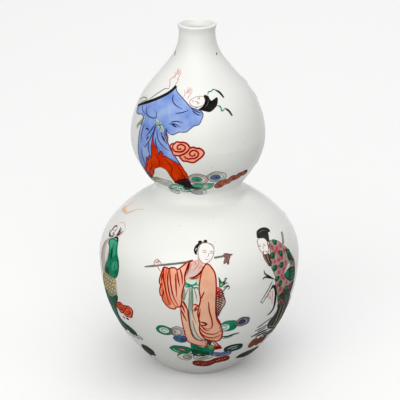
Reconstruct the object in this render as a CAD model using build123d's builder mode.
from build123d import *
import math
import os
from collections import namedtuple

# Porcelain double gourd vase: five thrown sections luted together with slip, then glazed outside,
# over the lip and in the recessed base, with a bare foot rim. Sizes in millimetres, slopes in degrees.
# The axis of the vase is Z, and the vase stands on Z = 0.

# Outside profile over the glaze: radius of each station, and its rise above the station before it
foot_radius = 29.8
foot_rise = 1.9
belly_radius = 73.3
belly_rise = 84.7
shoulder_radius = 44.2
shoulder_rise = 43.2
waist_radius = 32.2
waist_rise = 10.0
swell_step = 1.0
swell_rise = 4.8
upper_radius = 48.4
upper_rise = 33.6
crown_radius = 33.2
crown_rise = 39.1
neck_radius = 12.9
neck_rise = 36.7
lip_step = 0.9
lip_rise = 4.63

# Slope of the profile where it leans, measured from level outwards
level = 0.0
upright = 90.0
foot_slope = 35.7
shoulder_slope = 146.4
swell_slope = 50.7
crown_slope = 131.0
lip_slope = 72.0

# Thickness of the wall at each station, glaze included, and of the glaze itself
foot_wall = 9.5
belly_wall = 3.9
shoulder_wall = 4.3
waist_wall = 4.6
swell_wall = 4.4
upper_wall = 3.6
crown_wall = 3.6
neck_wall = 2.9
lip_wall = 1.8
glaze_thickness = 0.3

# Foot ring and recessed base
rim_inset = 2.2
rim_width = 4.0
rim_chamfer = 0.5
recess_depth = 3.2
recess_glaze_gap = 0.9
floor_thickness = 4.0
floor_radius = 10.0

# Luted joints: lift above the station they belong to, bevel of the rims, slip layer and inside bead
belly_joint_lift = 4.0
waist_joint_lift = 0.6
upper_joint_lift = 3.0
neck_joint_lift = 20.7
joint_bevel = 25.0
slip_thickness = 0.8
bead_radius = 1.6

Station = namedtuple("Station", "radius height slope")
Joint = namedtuple("Joint", "radius height")


def heading(station):
    angle = math.radians(station.slope)
    return Vector(math.cos(angle), math.sin(angle))


def spot(station):
    return Vector(station.radius, station.height)


def inset(station, depth):
    """The station moved into the wall, square to the profile."""
    along = heading(station)
    return Station(station.radius - depth * along.Y, station.height + depth * along.X, station.slope)


def biarc(start, end):
    """Two arcs from one station to the next, tangent to each other and to both slopes."""
    first_way = heading(start)
    last_way = heading(end)
    span = spot(end) - spot(start)
    spread = 2.0 * (1.0 - first_way.dot(last_way))
    lean = span.dot(first_way + last_way)
    if spread > 1e-9:
        reach = (math.sqrt(lean * lean + spread * span.dot(span)) - lean) / spread
    else:
        reach = span.dot(span) / (2.0 * lean)
    middle = (spot(start) + spot(end) + (first_way - last_way) * reach) * 0.5
    first = TangentArc(spot(start), middle, tangent=first_way)
    TangentArc(middle, spot(end), tangent=first % 1)


def profile(stations):
    for start, end in zip(stations, stations[1:]):
        biarc(start, end)


def crest(outside, inside):
    """The rounded edge of the lip between two stations that face each other."""
    across = spot(inside) - spot(outside)
    top = (spot(outside) + spot(inside)) * 0.5 + heading(outside) * (across.length * 0.5)
    ThreePointArc(spot(outside), top, spot(inside))


# Stations of the outside, from the foot to the lip
foot_z = foot_rise
belly_z = foot_z + belly_rise
shoulder_z = belly_z + shoulder_rise
waist_z = shoulder_z + waist_rise
swell_z = waist_z + swell_rise
upper_z = swell_z + upper_rise
crown_z = upper_z + crown_rise
neck_z = crown_z + neck_rise
lip_z = neck_z + lip_rise

outside = [
    Station(foot_radius, foot_z, foot_slope),
    Station(belly_radius, belly_z, upright),
    Station(shoulder_radius, shoulder_z, shoulder_slope),
    Station(waist_radius, waist_z, upright),
    Station(waist_radius + swell_step, swell_z, swell_slope),
    Station(upper_radius, upper_z, upright),
    Station(crown_radius, crown_z, crown_slope),
    Station(neck_radius, neck_z, upright),
    Station(neck_radius + lip_step, lip_z, lip_slope),
]
walls = [
    foot_wall,
    belly_wall,
    shoulder_wall,
    waist_wall,
    swell_wall,
    upper_wall,
    crown_wall,
    neck_wall,
    lip_wall,
]

# The body under the glaze, its inside, and the glaze that runs from the lip into the neck
body_outside = [inset(station, glaze_thickness) for station in outside]
body_inside = [inset(station, wall) for station, wall in zip(outside, walls)]
neck_inside = body_inside[-2:]
neck_glaze = [inset(station, glaze_thickness) for station in neck_inside]

# Foot ring, recess and floor
rim_radius = foot_radius - rim_inset
recess_radius = rim_radius - rim_width
floor_z = recess_depth + floor_thickness
floor_edge = Station(floor_radius, floor_z, level)


def wall_outline():
    """The whole body in section, from the foot rim to the lip and back down the inside to the floor."""
    profile(body_outside)
    crest(body_outside[-1], body_inside[-1])
    profile(body_inside)
    biarc(floor_edge, body_inside[0])
    Polyline(
        spot(floor_edge),
        (0, floor_z),
        (0, recess_depth),
        (recess_radius, recess_depth),
        (recess_radius, rim_chamfer),
        (recess_radius + rim_chamfer, 0),
        (rim_radius, 0),
        spot(body_outside[0]),
    )


# Luted joints, each a cone of slip that rises outwards
belly_joint = Joint(belly_radius, belly_z + belly_joint_lift)
waist_joint = Joint(waist_radius, waist_z + waist_joint_lift)
upper_joint = Joint(upper_radius, upper_z + upper_joint_lift)
neck_joint = Joint(neck_radius, crown_z + neck_joint_lift)
bevel_rise = math.tan(math.radians(joint_bevel))
half_slip = 0.5 * slip_thickness / math.cos(math.radians(joint_bevel))
reach_radius = belly_radius + upper_radius


def joint_height(joint, radius, side):
    """Height of the lower or the upper face of a slip layer, at a radius."""
    return joint.height + (radius - joint.radius) * bevel_rise + side * half_slip


def band(low, low_side, high, high_side):
    """The part of the section between two faces of slip layers."""
    Polyline(
        (0, joint_height(low, 0, low_side)),
        (reach_radius, joint_height(low, reach_radius, low_side)),
        (reach_radius, joint_height(high, reach_radius, high_side)),
        (0, joint_height(high, 0, high_side)),
        close=True,
    )


under_foot = Joint(belly_radius, -belly_radius)
above_lip = Joint(neck_radius, lip_z + neck_rise)
lower_face = -1.0
upper_face = 1.0

os.makedirs("parts", exist_ok=True)

# Lower half of the lower bulb, with the foot ring and the recessed base
with BuildPart() as base_section:
    with BuildSketch(Plane.XZ):
        with BuildLine():
            wall_outline()
        make_face()
        with BuildLine():
            band(under_foot, lower_face, belly_joint, lower_face)
        make_face(mode=Mode.INTERSECT)
    revolve(axis=Axis.Z)
base_section.part.label = "base_section"
export_step(base_section.part, "parts/base_section.step")

# Upper half of the lower bulb, up to the waist
with BuildPart() as shoulder_section:
    with BuildSketch(Plane.XZ):
        with BuildLine():
            wall_outline()
        make_face()
        with BuildLine():
            band(belly_joint, upper_face, waist_joint, lower_face)
        make_face(mode=Mode.INTERSECT)
    revolve(axis=Axis.Z)
shoulder_section.part.label = "shoulder_section"
export_step(shoulder_section.part, "parts/shoulder_section.step")

# Lower half of the upper bulb
with BuildPart() as upper_belly_section:
    with BuildSketch(Plane.XZ):
        with BuildLine():
            wall_outline()
        make_face()
        with BuildLine():
            band(waist_joint, upper_face, upper_joint, lower_face)
        make_face(mode=Mode.INTERSECT)
    revolve(axis=Axis.Z)
upper_belly_section.part.label = "upper_belly_section"
export_step(upper_belly_section.part, "parts/upper_belly_section.step")

# Upper half of the upper bulb, drawn in towards the neck
with BuildPart() as crown_section:
    with BuildSketch(Plane.XZ):
        with BuildLine():
            wall_outline()
        make_face()
        with BuildLine():
            band(upper_joint, upper_face, neck_joint, lower_face)
        make_face(mode=Mode.INTERSECT)
    revolve(axis=Axis.Z)
crown_section.part.label = "crown_section"
export_step(crown_section.part, "parts/crown_section.step")

# Neck with its slightly turned-out lip
with BuildPart() as neck_section:
    with BuildSketch(Plane.XZ):
        with BuildLine():
            wall_outline()
        make_face()
        with BuildLine():
            band(neck_joint, upper_face, above_lip, upper_face)
        make_face(mode=Mode.INTERSECT)
    revolve(axis=Axis.Z)
neck_section.part.label = "neck_section"
export_step(neck_section.part, "parts/neck_section.step")

# Slip in the four joints, each with the bead that was squeezed out on the inside
slip_rings = {
    "belly_luting_slip": belly_joint,
    "waist_luting_slip": waist_joint,
    "upper_luting_slip": upper_joint,
    "neck_luting_slip": neck_joint,
}
for slip_name, slip_joint in slip_rings.items():
    with BuildPart() as luting_slip:
        with BuildSketch(Plane.XZ) as slip_section:
            with BuildLine():
                wall_outline()
            make_face()
            with BuildLine():
                band(slip_joint, lower_face, slip_joint, upper_face)
            make_face(mode=Mode.INTERSECT)
            inner_corners = slip_section.vertices().sort_by(Axis.X)[:2]
            bead_centre = (inner_corners[0].center() + inner_corners[1].center()) * 0.5
            with BuildSketch(Plane.XY, mode=Mode.PRIVATE) as bead:
                with Locations(bead_centre):
                    Circle(bead_radius)
                with BuildLine():
                    wall_outline()
                make_face(mode=Mode.SUBTRACT)
            add(bead.sketch)
        revolve(axis=Axis.Z)
    luting_slip.part.label = slip_name
    export_step(luting_slip.part, "parts/" + slip_name + ".step")

# Glaze of the outside, from above the foot rim over the lip and down into the neck
with BuildPart() as outer_glaze:
    with BuildSketch(Plane.XZ):
        with BuildLine():
            profile(outside)
            crest(outside[-1], neck_glaze[-1])
            profile(neck_glaze)
            Line(spot(neck_glaze[0]), spot(neck_inside[0]))
            profile(neck_inside)
            crest(body_outside[-1], neck_inside[-1])
            profile(body_outside)
            Line(spot(body_outside[0]), spot(outside[0]))
        make_face()
    revolve(axis=Axis.Z)
outer_glaze.part.label = "outer_glaze"
export_step(outer_glaze.part, "parts/outer_glaze.step")

# Glaze in the recess of the base
with BuildPart() as base_glaze:
    with BuildSketch(Plane.XZ):
        with BuildLine():
            Polyline(
                (0, recess_depth),
                (recess_radius, recess_depth),
                (recess_radius, recess_glaze_gap),
                (recess_radius - glaze_thickness, recess_glaze_gap),
                (recess_radius - glaze_thickness, recess_depth - glaze_thickness),
                (0, recess_depth - glaze_thickness),
                close=True,
            )
        make_face()
    revolve(axis=Axis.Z)
base_glaze.part.label = "base_glaze"
export_step(base_glaze.part, "parts/base_glaze.step")
